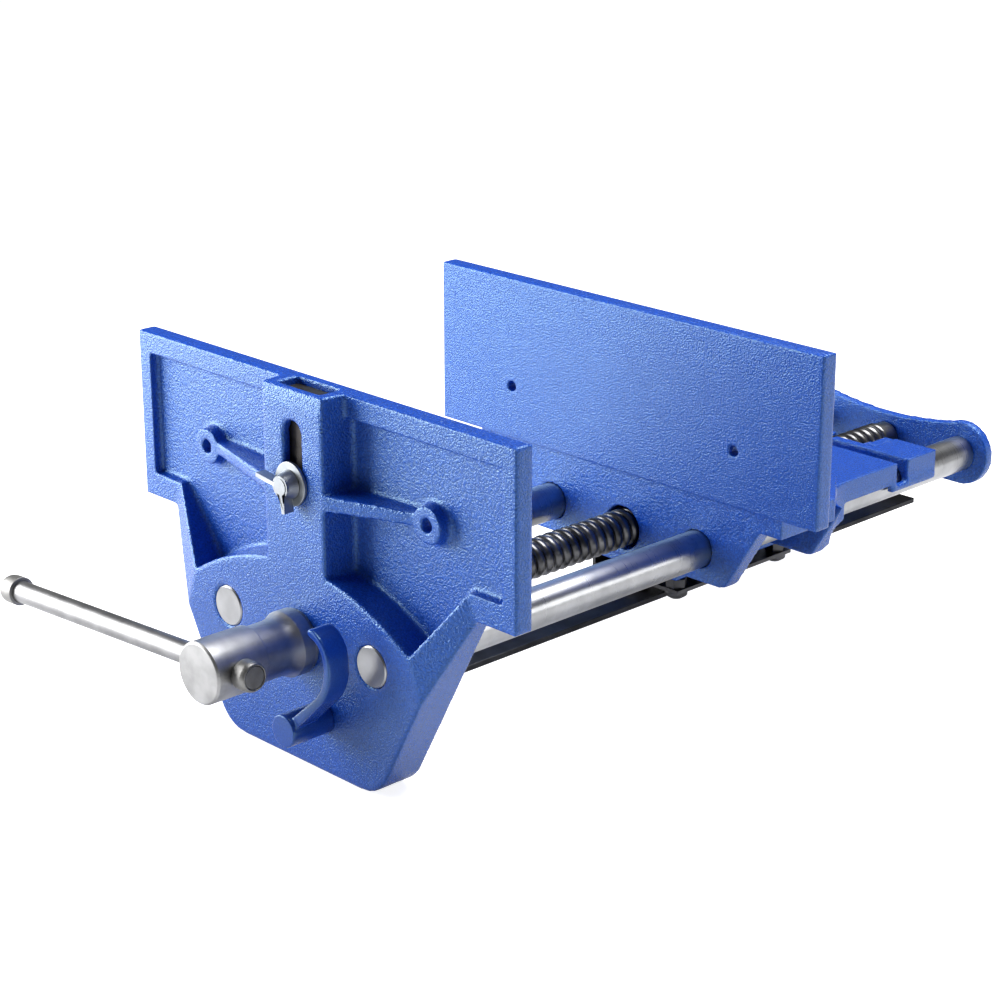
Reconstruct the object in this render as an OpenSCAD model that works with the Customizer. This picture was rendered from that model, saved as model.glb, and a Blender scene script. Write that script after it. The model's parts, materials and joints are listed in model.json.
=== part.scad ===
// Quick-release woodworking vise that bolts under a bench top.
// Frame: the origin lies midway between the two front bench bolts, on the
// mounting face. +X points right seen from the front jaw, +Y away from the
// user along the guide bars, +Z up. Millimetres throughout.

/* [Jaws] */
// Width of both jaws
jaw_w = 265; // [258:1:290]
// Height of the jaw tops above the mounting face
jaw_rise = 88.5; // [86:0.5:92]
// Height of the front jaw's plate
front_plate_h = 84.5; // [82:0.5:87]
// Thickness of both jaw plates
jaw_t = 10; // [9.5:0.5:12]
// Gap between the jaws as modelled
opening = 193; // [150:1:200]
// Thickness of the front plate inside its rim
field_t = 5.5; // [5:0.1:6.5]
// Distance of the liner screw holes from the middle
liner_x = 78.4; // [70:0.1:84]
// Drop of the front liner holes below the jaw top
front_liner_drop = 47.5; // [45:0.5:50]
// Drop of the bench liner holes below the jaw top
bench_liner_drop = 59.7; // [50:0.1:64]
// Diameter of the liner holes in the front jaw
front_liner_d = 6.5; // [5:0.1:8]
// Diameter of the liner holes in the bench jaw
bench_liner_d = 5.5; // [4:0.1:7]

/* [Bars and screw] */
// Diameter of the guide bars
bar_d = 20; // [19:0.5:21]
// Distance between the guide bars' axes
bar_gap = 104; // [102:1:107]
// Drop of the guide bars' axes below the mounting face
bar_drop = 31; // [30:0.5:32]
// Drop of the screw's axis below the bars' axes
screw_drop = 2; // [0:0.5:3]
// Outside diameter of the screw
screw_d = 20.5; // [19:0.5:21]
// Distance from the front jaw's rim to the rear plate's near face
bar_reach = 435; // [430:1:470]
// Thickness of the rear plate
rear_plate_t = 6; // [5:0.5:8]
// Radial running clearance of bars, screw and trigger
running = 0.05; // [0.03:0.01:0.08]

/* [Screw head and handle] */
// Diameter of the screw head
head_d = 30; // [29:0.5:31]
// Length of the screw head in front of the front jaw's body
head_len = 57.8; // [55:0.1:62]
// Diameter of the collar at the head's foot
collar_d = 32; // [31.5:0.5:35]
// Diameter of the neck between head and collar
neck_d = 27.2; // [26:0.1:28]
// Diameter of the handle rod
handle_d = 11; // [9:0.5:12]
// Length of the handle from end to end
handle_len = 202; // [170:1:260]
// Turn of the handle from level, left end down
handle_turn = 3.5; // [0:0.5:10]
// Diameter of the handle's end knobs
knob_d = 14.6; // [14:0.1:16]

/* [Release trigger] */
// Distance of the trigger's axis to the right of the screw
trigger_x = 17.5; // [17:0.1:18]
// Drop of the trigger's axis below the bars' axes
trigger_drop = 35.3; // [35:0.1:36.5]
// Width of the flat release bar
release_w = 13; // [12:0.5:13.5]
// Thickness of the flat release bar
release_t = 3; // [2:0.1:3.2]
// Reach of the release bar behind the front jaw's rim
release_reach = 433; // [425:1:450]

/* [Bench dog] */
// Width of the dog
dog_w = 29.6; // [26:0.1:31]
// Thickness of the dog
dog_t = 12; // [10:0.1:12.2]
// Length of the dog
dog_len = 66; // [58:1:72]
// Height that the dog slides up
dog_lift = 25; // [15:1:27]
// Diameter of the wing screw's thread
wing_d = 8; // [6:1:9]

/* [Bench mounting] */
// Distance of the front bench bolts behind the bench jaw's face
bolt_setback = 30; // [28:1:33]
// Distance between the front bench bolts
front_bolt_gap = 176; // [170:1:182]
// Distance between the rear bench bolts
rear_bolt_gap = 56; // [52:1:58]
// Distance from the front to the rear bench bolts
bolt_row_gap = 92; // [88:1:104]
// Diameter of the bench bolt holes
bench_bolt_d = 11; // [9:0.5:12]
// Thickness of the mounting flange and of the rear deck
flange_t = 12; // [11:0.5:13]
// Width of the mounting flange
flange_w = 214; // [206:1:220]

/* [Hidden] */
$fn = 64;

// Overrun of every cut, and the gap left between pieces that only sit close
cut = 1;
seat = 0.3;
// Least wall left in the castings
wall = 4;

// Planes across the vise, from the user to the back
bench_face_y = -bolt_setback;
bench_back_y = bench_face_y + jaw_t;
grip_y = bench_face_y - opening;
rim_y = grip_y - jaw_t;
field_y = grip_y - field_t;
body_proud = 12.7;
grip_proud = 0.5;
skirt_back_y = grip_y - grip_proud;
body_y = rim_y - body_proud;
rear_y = rim_y + bar_reach;

// Levels and places of the moving axes
top_z = jaw_rise;
front_bottom_z = jaw_rise - front_plate_h;
bar_z = -bar_drop;
screw_z = bar_z - screw_drop;
trigger_z = bar_z - trigger_drop;
bar_x = bar_gap / 2;
bar_r = bar_d / 2;
screw_r = screw_d / 2;

// Front jaw: rim round the recessed field
rim_side = 8.5;
rim_top = 10.5;
rim_bottom = 12;
// Front jaw: slanted skirt with rounded lower corners
skirt_x = 108;
skirt_angle = 62;
skirt_depth = 64;
skirt_r = 20;
skirt_z = bar_z - skirt_depth;
skirt_corner_x = skirt_x - (front_bottom_z - skirt_z) / tan(skirt_angle);
skirt_tangent = skirt_r * tan(skirt_angle / 2);
// Front jaw: the body's arched top edge, the pockets above it, and the fold
// where the body's face turns back to the rim
arch_r = 139.3;
arch_rise = 35.6;
arch_z = bar_z + arch_rise - arch_r;
pocket_foot_x = 77;
pocket_foot_z = arch_z + sqrt(arch_r * arch_r - pocket_foot_x * pocket_foot_x);
pocket_top_x = 103;
pocket_top_z = front_bottom_z + rim_bottom;
fold_lean = 19;
fold_run = (pocket_top_x - pocket_foot_x) * cos(fold_lean) + (pocket_top_z - pocket_foot_z) * sin(fold_lean);
fold_angle = atan(body_proud / fold_run);

// Front jaw: column for the dog, drafted towards its front
column_w = 42;
column_foot_w = 47;
column_bevel_h = 7.5;
column_bevel = 0.9;
column_wall = 4.8;
dog_gap = 0.2;
dog_front_y = body_y + column_wall + dog_gap;
dog_top_drop = 3.5;
dog_top_z = top_z - dog_top_drop;
dog_bottom_z = dog_top_z - dog_len;
wing_drop = 44.5;
wing_z = top_z - wing_drop;
slot_w = 12.5;
slot_over = 0.8;
// Wing screw and its washer
wing_washer_d = 21;
wing_washer_t = 1.6;
wing_hub_d = 14;
wing_hub_end_d = 10.3;
wing_hub_len = 5.6;
wing_blade_t = 2;
wing_blade_w = 5.6;
wing_spans = [17.2, 12.6];
wing_angles = [173, 280];

// Front jaw: liner bosses and the ribs that tie them to the column
liner_boss_d = 18;
liner_boss_proud = 2;
liner_boss_y = rim_y - liner_boss_proud;
rib_root_h = 7.5;
rib_tip_h = 6.2;
rib_root_drop = 1.8;
rib_tip_rise = 1.2;

// Screw, its head and its thrust bearing in the front jaw
journal_wall = 10.7;
collar_len = 7;
flare_len = 6;
neck_len = 14;
head_edge = 1;
thrust_t = 1.3;
thrust_d = 31;
nose_d = 16;
nose_len = 34;
head_pin_share = 0.6;
retainer_d = 32;
retainer_t = 11;
pin_d = 5;
screw_gap = 1.5;
tail_d = 14;
tail_gap = 1;

// Handle and its knobs
handle_reach = 44.3;
handle_y = body_y - handle_reach;
cap_len = 14;
button_len = 9;
button_lip = (knob_d - handle_d) / 3;
handle_right = head_d / 2 + seat + button_len;
handle_left = handle_right - handle_len;

// Guide bars' ends and the rear plate
spigot_d = 12;
washer_d = 24;
washer_t = 2;
bar_nut_af = 18;
bar_nut_t = 7;
bar_pin_front = 2;
bar_pin_y = rim_y - bar_pin_front;
bar_pin_len = 32;
plate_end_r = 18.6;
plate_waist = 12.5;

// Trigger: hub, finger blade and journal
hub_d = 16;
hub_len = 24.3;
hub_gap = 0.2;
hub_cap = 4;
journal_d = 10;
trigger_pin_d = 2.5;
blade_back = 9.8;
blade_w = 12.5;
blade_t = 4;
blade_x = 5.5;
blade_rise = 37.8;
blade_r = 24;
blade_from = -47;
blade_bend = 15;
blade_tip_r = 13;
blade_tip = 78;
blade_root_share = 1.4;

// Bench jaw: apron, rear web, flange, deck and bearings
apron_setback = 5;
apron_y = bench_face_y + apron_setback;
web_t = 10;
web_x = 93.3;
web_foot_x = 71.3;
web_depth = 17;
web_r = 5;
web_foot_z = bar_z - web_depth;
web_gap = 59.5;
web2_y = apron_y + web_t + web_gap;
flange_x = flange_w / 2;
flange_len = 42;
flange_back_y = apron_y + flange_len;
flange_neck_x = 84;
deck_rise = 15;
deck_z = bar_z + deck_rise;
deck_x = 66;
sweep_len = 34.5;
flare_y = web2_y + sweep_len;
flare_drop = 6.6;
flare_z = bar_z - flare_drop;
flare_out = web_x - deck_x;
flare_r = (flare_out * flare_out + (flare_y - web2_y) * (flare_y - web2_y)) / (2 * flare_out);
deck_len = 79.5;
slot_y = web2_y + deck_len;
relief_w = 9.5;
relief_x = 28;
relief_rise = 2.5;
relief_z = bar_z + relief_rise;
saddle_len = 35;
saddle_end_y = slot_y + saddle_len;
saddle_r = 15;
saddle_x = 38;
saddle_foot = 1.2;
cradle_x = 29;
cradle_len = 46;
cradle_end_y = slot_y + cradle_len;
cradle_rise = 5;
cradle_top_z = bar_z + cradle_rise;
lug_len = 17;
lug_w = 6;
lug_h = 5;
bar_room = 1;

// Half nut, its housing and the keeper channel below it
nut_len = 40;
nut_w = 32;
nut_floor = 8.75;
nut_setback = 47;
nut_y = bench_face_y + nut_setback;
nut_play = 0.3;
housing_left = 22;
housing_right = 36;
housing_end = 3;
housing_depth = 23.5;
housing_z = bar_z - housing_depth;
keeper_t = 2;
keeper_nut_af = 10;
keeper_nut_h = 5;
keeper_top_z = housing_z - keeper_nut_h;
keeper_left = housing_left + keeper_t;
keeper_right = housing_right + 2 * keeper_t;
keeper_setback = 8;
keeper_len = 92;
keeper_front_y = bench_face_y + keeper_setback;
keeper_back_y = keeper_front_y + keeper_len;
keeper_bolt_d = 6;
keeper_head_d = 12;
keeper_head_h = 4.5;
keeper_grip = 7;
keeper_clear = 1;
keeper_bolt_x = release_w / 2 + keeper_head_d / 2 + keeper_clear;
keeper_bolts_y = [keeper_front_y + keeper_head_d / 2, keeper_back_y - keeper_head_d / 2];
claw_len = 14;
claw_t = 8.5;
claw_foot_t = 4;
claw_under = 4.7;
claw_gap = 0.5;
claw_x = trigger_x - release_w / 2 - claw_gap;
claw_foot_z = trigger_z - release_t / 2 - seat;
spring_d = 9;
spring_wire = 1.2;
spring_turns = 5;
spring_rings = 8;
spring_sides = 6;
spring_off = 13.5;
spring_len = 11.3;
spring_r = (spring_d - spring_wire) / 2;
spring_pitch = (spring_len - spring_wire) / spring_turns;

// Solid between two planes across the vise, from an X-Z outline
module across(y_from, y_to) {
    translate([0, y_to, 0]) rotate([90, 0, 0]) linear_extrude(y_to - y_from) children();
}

// Solid between two side planes, from a Y-Z outline
module sideways(x_from, x_to) {
    translate([x_from, 0, 0]) rotate([90, 0, 90]) linear_extrude(x_to - x_from) children();
}

// Round bar or bore along Y
module along(x, y_from, y_to, z, d) {
    translate([x, y_from, z]) rotate([-90, 0, 0]) cylinder(d = d, h = y_to - y_from);
}

// Upright round bar or bore
module upright(x, y, z_from, z_to, d) {
    translate([x, y, z_from]) cylinder(d = d, h = z_to - z_from);
}

// Block between two corners
module block(low, high) {
    translate(low) cube(high - low);
}

// The same shape on both sides of the middle
module both_sides() {
    children();
    mirror([1, 0, 0]) children();
}

// Hexagonal nut along Z, standing on the origin
module hex_nut(across_flats, h, hole) {
    difference() {
        cylinder(d = across_flats / cos(30), h = h, $fn = 6);
        translate([0, 0, -cut]) cylinder(d = hole, h = h + 2 * cut);
    }
}

// Front jaw outlines, seen from the front; the halves lie to the right
module front_plate_outline() {
    translate([-jaw_w / 2, front_bottom_z]) square([jaw_w, front_plate_h]);
}

module skirt_half() {
    foot = skirt_corner_x - skirt_tangent;
    knee_x = skirt_corner_x + skirt_tangent * cos(skirt_angle);
    knee_z = skirt_z + skirt_tangent * sin(skirt_angle);
    polygon([[-cut, skirt_z], [foot, skirt_z], [knee_x, knee_z], [skirt_x, front_bottom_z],
        [pocket_top_x, pocket_top_z], [-cut, pocket_top_z]]);
    intersection() {
        translate([foot, skirt_z + skirt_r]) circle(r = skirt_r);
        translate([foot - cut, skirt_z]) square([2 * skirt_r, skirt_r]);
    }
}

module skirt_outline() {
    skirt_half();
    mirror([1, 0]) skirt_half();
}

module arch_disc() {
    translate([0, arch_z]) circle(r = arch_r, $fn = 180);
}

// What the recessed field and the pockets take out of the rim
module field_half() {
    inner_x = jaw_w / 2 - rim_side;
    polygon([[-cut, top_z - rim_top], [inner_x, top_z - rim_top], [inner_x, pocket_top_z],
        [pocket_top_x, pocket_top_z], [pocket_foot_x, pocket_foot_z], [-cut, pocket_foot_z]]);
}

module field_outline() {
    field_half();
    mirror([1, 0]) field_half();
}

// Half plane beyond the fold line, or before it
module past_fold(side) {
    translate([pocket_foot_x, pocket_foot_z]) rotate(fold_lean)
        translate([side > 0 ? 0 : -jaw_w, -jaw_w]) square([jaw_w, 2 * jaw_w]);
}

// Side of the skirt: its face turns back from the body to the rim
module skirt_wall() {
    difference() {
        across(body_y, skirt_back_y) intersection() {
            difference() {
                skirt_half();
                field_half();
            }
            past_fold(1);
        }
        translate([pocket_foot_x, body_y, pocket_foot_z]) rotate([0, -fold_lean, 0]) rotate([0, 0, fold_angle])
            translate([0, -2 * body_proud, -jaw_w]) cube([jaw_w, 2 * body_proud, 2 * jaw_w]);
    }
}

module body_front() {
    across(body_y, skirt_back_y) intersection() {
        skirt_half();
        arch_disc();
        past_fold(-1);
    }
}

module column() {
    difference() {
        translate([0, 0, bar_z]) linear_extrude(top_z - bar_z)
            polygon([[-column_w / 2, body_y], [column_w / 2, body_y],
                [column_foot_w / 2, field_y + cut], [-column_foot_w / 2, field_y + cut]]);
        translate([-column_w, body_y, top_z - column_bevel_h])
            rotate([-atan(column_bevel / column_bevel_h), 0, 0])
            translate([0, -body_proud, 0]) cube([2 * column_w, body_proud, 2 * column_bevel_h]);
    }
}

// Rib from the column to a liner boss, falling back from the body's face
module liner_rib() {
    boss_z = top_z - front_liner_drop;
    root_z = boss_z - rib_root_drop;
    tip_z = boss_z + rib_tip_rise;
    root_x = column_w / 2;
    tip_x = liner_x - liner_boss_d / 2;
    intersection() {
        across(body_y, field_y + cut) polygon([[0, root_z - rib_root_h / 2], [root_x, root_z - rib_root_h / 2],
            [liner_x, tip_z - rib_tip_h / 2], [liner_x, tip_z + rib_tip_h / 2],
            [root_x, root_z + rib_root_h / 2], [0, root_z + rib_root_h / 2]]);
        translate([0, 0, root_z - rib_root_h]) linear_extrude(3 * rib_root_h)
            polygon([[0, body_y], [root_x, body_y], [tip_x, liner_boss_y], [liner_x, liner_boss_y],
                [liner_x, field_y + cut], [0, field_y + cut]]);
    }
}

module front_jaw() {
    boss_z = top_z - front_liner_drop;
    color("royalblue") difference() {
        union() {
            across(field_y, grip_y) front_plate_outline();
            across(field_y, skirt_back_y) skirt_outline();
            across(rim_y, grip_y) difference() {
                front_plate_outline();
                field_outline();
            }
            column();
            both_sides() {
                body_front();
                skirt_wall();
                liner_rib();
                along(liner_x, liner_boss_y, field_y + cut, boss_z, liner_boss_d);
            }
        }
        for (side = [-1, 1]) {
            along(side * bar_x, body_y - cut, grip_y + cut, bar_z, bar_d + 2 * running);
            along(side * liner_x, body_y, grip_y + cut, boss_z, front_liner_d);
            upright(side * bar_x, bar_pin_y, skirt_z - cut, bar_z + bar_pin_len / 4, pin_d);
        }
        along(0, body_y - cut, grip_y + cut, screw_z, screw_d + 2 * running);
        along(0, body_y + journal_wall, grip_y + cut, screw_z, retainer_d + 2 * seat);
        along(trigger_x, body_y - cut, grip_y + cut, trigger_z, journal_d + 2 * running);
        dog_pocket();
        dog_slot();
    }
}

module dog_pocket() {
    half = dog_w / 2 + dog_gap;
    block([-half, dog_front_y - dog_gap, dog_bottom_z - dog_gap],
        [half, dog_front_y + dog_t + dog_gap, top_z + cut]);
}

// Upright slot with round ends, through the column's front wall
module dog_slot() {
    play = (slot_w - wing_d) / 2 - slot_over;
    low = wing_z + play;
    high = wing_z + dog_lift - play;
    across(body_y - cut, dog_front_y + cut) {
        translate([-slot_w / 2, low]) square([slot_w, high - low]);
        translate([0, low]) circle(d = slot_w);
        translate([0, high]) circle(d = slot_w);
    }
}

// Guide bar, pinned in the front jaw, with a threaded spigot at the back
module guide_bar(side) {
    spigot_end = rear_y + rear_plate_t + washer_t + bar_nut_t + cut;
    color("silver") difference() {
        union() {
            along(side * bar_x, body_y, rear_y, bar_z, bar_d);
            along(side * bar_x, rear_y - cut, spigot_end, bar_z, spigot_d);
        }
        upright(side * bar_x, bar_pin_y, bar_z - bar_d, bar_z + bar_pin_len / 4, pin_d);
    }
}

module guide_bar_left() {
    guide_bar(-1);
}

module guide_bar_right() {
    guide_bar(1);
}

module bar_pins() {
    pin_top = bar_z + bar_pin_len / 4 - seat;
    color("dimgray") both_sides() upright(bar_x, bar_pin_y, pin_top - bar_pin_len, pin_top, pin_d);
}

// Rear plate: two round eyes joined by a waisted web
module rear_plate() {
    color("royalblue") difference() {
        across(rear_y, rear_y + rear_plate_t) {
            for (side = [-1, 1]) translate([side * bar_x, bar_z]) circle(r = plate_end_r);
            difference() {
                translate([-bar_x, bar_z - plate_end_r]) square([bar_gap, 2 * plate_end_r]);
                plate_saddle();
            }
        }
        for (side = [-1, 1])
            along(side * bar_x, rear_y - cut, rear_y + rear_plate_t + cut, bar_z, spigot_d + 2 * running);
        along(0, rear_y - cut, rear_y + rear_plate_t + cut, screw_z, tail_d + 2 * running);
    }
}

// Shallow arc that dips the plate's top edge between the two eyes
module plate_saddle() {
    dip = plate_end_r - plate_waist;
    r = (bar_x * bar_x + dip * dip) / (2 * dip);
    translate([0, bar_z + plate_waist + r]) circle(r = r, $fn = 180);
}

module rear_plate_washers() {
    back = rear_y + rear_plate_t;
    color("gainsboro") both_sides() difference() {
        along(bar_x, back, back + washer_t, bar_z, washer_d);
        along(bar_x, back - cut, back + washer_t + cut, bar_z, spigot_d + 2 * running);
    }
}

module rear_plate_nuts() {
    back = rear_y + rear_plate_t + washer_t;
    color("gainsboro") both_sides() translate([bar_x, back, bar_z]) rotate([-90, 0, 0])
        hex_nut(bar_nut_af, bar_nut_t, spigot_d + 2 * running);
}

// Screw: nose pinned in the head, plain journal, threaded length, rear tail
module main_screw() {
    shoulder_y = body_y - thrust_t - collar_len;
    color("dimgray") difference() {
        union() {
            along(0, body_y - nose_len, shoulder_y + cut, screw_z, nose_d);
            along(0, shoulder_y, rear_y - tail_gap, screw_z, screw_d);
            along(0, rear_y - 2 * tail_gap, rear_y + rear_plate_t, screw_z, tail_d);
        }
        head_pin_hole();
        collar_pin_hole(0);
    }
}

// Head with a cross hole for the handle, a neck, a flare and a collar
module screw_head() {
    front_y = body_y - head_len;
    back_y = body_y - thrust_t;
    collar_y = back_y - collar_len;
    neck_back_y = collar_y - flare_len;
    neck_y = neck_back_y - neck_len;
    r = head_d / 2;
    color("silver") difference() {
        translate([0, 0, screw_z]) rotate([-90, 0, 0]) rotate_extrude($fn = 96) polygon([
            [0, front_y], [r - head_edge, front_y], [r, front_y + head_edge], [r, neck_y - head_edge],
            [neck_d / 2, neck_y], [neck_d / 2, neck_back_y], [collar_d / 2 - head_edge, collar_y],
            [collar_d / 2, collar_y + head_edge], [collar_d / 2, back_y], [0, back_y]]);
        along(0, body_y - nose_len, back_y + cut, screw_z, nose_d + 2 * running);
        along(0, collar_y, back_y + cut, screw_z, screw_d + 2 * running);
        handle_place() rotate([0, 90, 0]) translate([0, 0, -head_d])
            cylinder(d = handle_d + 4 * running, h = 2 * head_d);
        head_pin_hole();
    }
}

module head_pin_hole() {
    upright(0, body_y - head_pin_share * nose_len, screw_z - neck_d, screw_z + nose_d / 4, pin_d);
}

module head_pin() {
    color("dimgray") upright(0, body_y - head_pin_share * nose_len, screw_z - neck_d / 2 + seat,
        screw_z + nose_d / 4 - seat, pin_d);
}

module thrust_washer() {
    color("gainsboro") difference() {
        along(0, body_y - thrust_t, body_y, screw_z, thrust_d);
        along(0, body_y - thrust_t - cut, body_y + cut, screw_z, screw_d + 2 * seat);
    }
}

// Collar pinned on the screw, sunk in the back of the front jaw
module retaining_collar() {
    near_y = body_y + journal_wall + seat;
    color("dimgray") difference() {
        along(0, near_y, near_y + retainer_t, screw_z, retainer_d);
        along(0, near_y - cut, near_y + retainer_t + cut, screw_z, screw_d + 2 * running);
        collar_pin_hole(0);
    }
}

module collar_pin_hole(shrink) {
    half = retainer_d / 2 - shrink;
    upright(0, body_y + journal_wall + seat + retainer_t / 2, screw_z - half, screw_z + half, pin_d);
}

module collar_pin() {
    color("silver") collar_pin_hole(seat);
}

// Places its children where the handle crosses the screw, turned with it
module handle_place() {
    translate([0, handle_y, screw_z]) rotate([0, -handle_turn, 0]) children();
}

module tommy_bar() {
    color("silver") handle_place() translate([handle_left + cap_len / 2, 0, 0])
        rotate([0, 90, 0]) cylinder(d = handle_d, h = handle_right - handle_left - cap_len / 2 - seat);
}

// Domed cap over the handle's left end
module knob_left() {
    r = knob_d / 2;
    color("silver") handle_place() translate([handle_left, 0, 0]) rotate([0, 90, 0]) difference() {
        rotate_extrude($fn = 48) intersection() {
            union() {
                translate([0, r]) circle(r = r);
                translate([0, r]) square([r, cap_len - r]);
            }
            square([r, cap_len]);
        }
        translate([0, 0, cap_len / 2]) cylinder(d = handle_d, h = cap_len);
    }
}

// Button with rounded shoulders and a countersunk end, on the handle's right
module knob_right() {
    r = knob_d / 2;
    bore = handle_d / 2;
    color("silver") handle_place() translate([handle_right - button_len, 0, 0]) rotate([0, 90, 0])
        rotate_extrude($fn = 48) polygon([[bore, 0], [r - button_lip, 0], [r, button_lip],
            [r, button_len - 2 * button_lip], [r - button_lip / 2, button_len - button_lip / 2],
            [r - button_lip, button_len], [bore + button_lip / 4, button_len], [bore, button_len - button_lip]]);
}

// Part of a ring, between two angles less than 120 degrees apart
module arc_band(r, t, from, to) {
    far = 2 * (r + t);
    mid = (from + to) / 2;
    intersection() {
        difference() {
            circle(r = r + t / 2, $fn = 96);
            circle(r = r - t / 2, $fn = 96);
        }
        polygon([[0, 0], far * [cos(from), sin(from)], far * [cos(mid), sin(mid)], far * [cos(to), sin(to)]]);
    }
}

// Trigger blade seen from the front: straight out of the hub, then two arcs
module blade_outline() {
    bend = [blade_x, blade_rise] + (blade_r - blade_tip_r) * [cos(blade_bend), sin(blade_bend)];
    start = [blade_x, blade_rise] + blade_r * [cos(blade_from), sin(blade_from)];
    side = blade_t / 2 * [cos(blade_from), sin(blade_from)];
    translate([blade_x, blade_rise]) arc_band(blade_r, blade_t, blade_from, blade_bend);
    translate(bend) arc_band(blade_tip_r, blade_t, blade_bend, blade_tip);
    translate(bend + blade_tip_r * [cos(blade_tip), sin(blade_tip)]) circle(d = blade_t);
    root = blade_root_share * side;
    polygon([-root, root, start + side, start - side]);
}

module release_trigger() {
    color("royalblue") difference() {
        union() {
            along(trigger_x, body_y - hub_len, body_y - hub_gap, trigger_z, hub_d);
            translate([trigger_x, 0, trigger_z])
                across(body_y - blade_back - blade_w, body_y - blade_back) blade_outline();
        }
        along(trigger_x, body_y - hub_len + hub_cap, body_y + cut, trigger_z, journal_d + 2 * running);
        trigger_pin_hole(0);
    }
}

module trigger_pin_hole(shrink) {
    half = hub_d / 2 - shrink;
    upright(trigger_x, body_y - blade_back / 2, trigger_z - half, trigger_z + half, trigger_pin_d);
}

module trigger_pin() {
    color("dimgray") trigger_pin_hole(seat);
}

// Release bar: round journal in the trigger and the jaw, flat bar behind
module release_bar() {
    half_w = release_w / 2;
    half_t = release_t / 2;
    flat_y = grip_y + seat;
    color("black") difference() {
        union() {
            along(trigger_x, body_y - hub_len + hub_cap + seat, flat_y + cut, trigger_z, journal_d);
            block([trigger_x - half_w, flat_y, trigger_z - half_t],
                [trigger_x + half_w, rim_y + release_reach, trigger_z + half_t]);
        }
        trigger_pin_hole(0);
    }
}

module dog() {
    half = dog_w / 2;
    color("silver") difference() {
        block([-half, dog_front_y, dog_bottom_z], [half, dog_front_y + dog_t, dog_top_z]);
        along(0, dog_front_y - cut, dog_front_y + dog_t + cut, wing_z, wing_d + 2 * running);
    }
}

module dog_washer() {
    near_y = body_y - wing_washer_t - dog_gap;
    color("gainsboro") difference() {
        along(0, near_y, near_y + wing_washer_t, wing_z, wing_washer_d);
        along(0, near_y - cut, near_y + wing_washer_t + cut, wing_z, wing_d + seat);
    }
}

module wing_screw() {
    hub_back = body_y - wing_washer_t - 2 * dog_gap;
    hub_near = hub_back - wing_hub_len;
    color("gainsboro") {
        translate([0, hub_near, wing_z]) rotate([-90, 0, 0])
            cylinder(d1 = wing_hub_end_d, d2 = wing_hub_d, h = wing_hub_len);
        along(0, hub_near - seat, dog_front_y + dog_t - seat, wing_z, wing_d);
        for (i = [0, 1]) translate([0, 0, wing_z]) rotate([0, -wing_angles[i], 0])
            block([wing_hub_end_d / 4, hub_near - seat, -wing_blade_t / 2],
                [wing_spans[i], hub_near - seat + wing_blade_w, wing_blade_t / 2]);
    }
}

// Bench jaw: outline of both webs below the mounting flange
module web_half() {
    slope = atan((-flange_t - web_foot_z) / (web_x - web_foot_x));
    tangent = web_r * tan(slope / 2);
    foot = web_foot_x - tangent;
    polygon([[-cut, web_foot_z], [foot, web_foot_z],
        [web_foot_x + tangent * cos(slope), web_foot_z + tangent * sin(slope)],
        [web_x, -flange_t], [web_x - flange_t, -flange_t / 2], [-cut, -flange_t / 2]]);
    intersection() {
        translate([foot, web_foot_z + web_r]) circle(r = web_r);
        translate([foot - cut, web_foot_z]) square([2 * web_r, web_r]);
    }
}

module web_outline() {
    web_half();
    mirror([1, 0]) web_half();
}

// Flange that carries the front bench bolts, narrowed towards the rear web
module flange() {
    back = web2_y + web_t / 4;
    translate([0, 0, -flange_t]) linear_extrude(flange_t)
        polygon([[-flange_x, apron_y], [flange_x, apron_y], [flange_x, flange_back_y], [flange_neck_x, back],
            [-flange_neck_x, back], [-flange_x, flange_back_y]]);
}

// Rear web, and the walls that sweep back from it to the deck's sides
module rear_web() {
    intersection() {
        across(web2_y, flare_y) web_outline();
        translate([0, 0, web_foot_z]) linear_extrude(-web_foot_z) difference() {
            translate([-web_x, web2_y]) square([2 * web_x, flare_y - web2_y]);
            for (side = [-1, 1]) translate([side * (deck_x + flare_r), flare_y]) circle(r = flare_r, $fn = 96);
        }
        union() {
            block([-web_x, web2_y, web_foot_z], [web_x, web2_y + web_t, deck_z]);
            block([-flange_neck_x, web2_y, bar_z], [flange_neck_x, web2_y + web_t / 2, -flange_t / 2]);
            both_sides() sideways(deck_x - wall, web_x) polygon([[web2_y, web_foot_z], [flare_y, flare_z],
                [flare_y, deck_z], [web2_y, deck_z]]);
        }
    }
}

// Deck behind the rear web, over the guide bars and the screw
module deck() {
    block([-deck_x, web2_y, deck_z - flange_t], [deck_x, slot_y, deck_z]);
}

// Rear bearings: a saddle over each guide bar, tied to a low centre cradle
module rear_bearings() {
    start_y = slot_y - wall;
    foot_z = bar_z - saddle_foot;
    both_sides() {
        across(start_y, saddle_end_y) intersection() {
            union() {
                translate([bar_x, bar_z]) circle(r = saddle_r);
                translate([saddle_x, foot_z]) square([bar_x - saddle_x, saddle_r + saddle_foot]);
            }
            translate([saddle_x, foot_z]) square([2 * saddle_r, 2 * saddle_r]);
        }
        block([0, start_y, foot_z], [saddle_x + cut, saddle_end_y, relief_z]);
        block([cradle_x - lug_w, cradle_end_y - lug_len, bar_z], [cradle_x, cradle_end_y, cradle_top_z + lug_h]);
    }
    block([-cradle_x, start_y, screw_z - screw_r - wall], [cradle_x, cradle_end_y, cradle_top_z]);
}

// Box round the half nut, and the pads that take the keeper's bolts
module housing() {
    low = [-housing_left, keeper_front_y, housing_z];
    block(low, [housing_right, web2_y + cut, -flange_t / 2]);
    block([low[0], web2_y, low[2]], [housing_right, keeper_back_y + housing_end, deck_z - flange_t + cut]);
}

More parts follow.
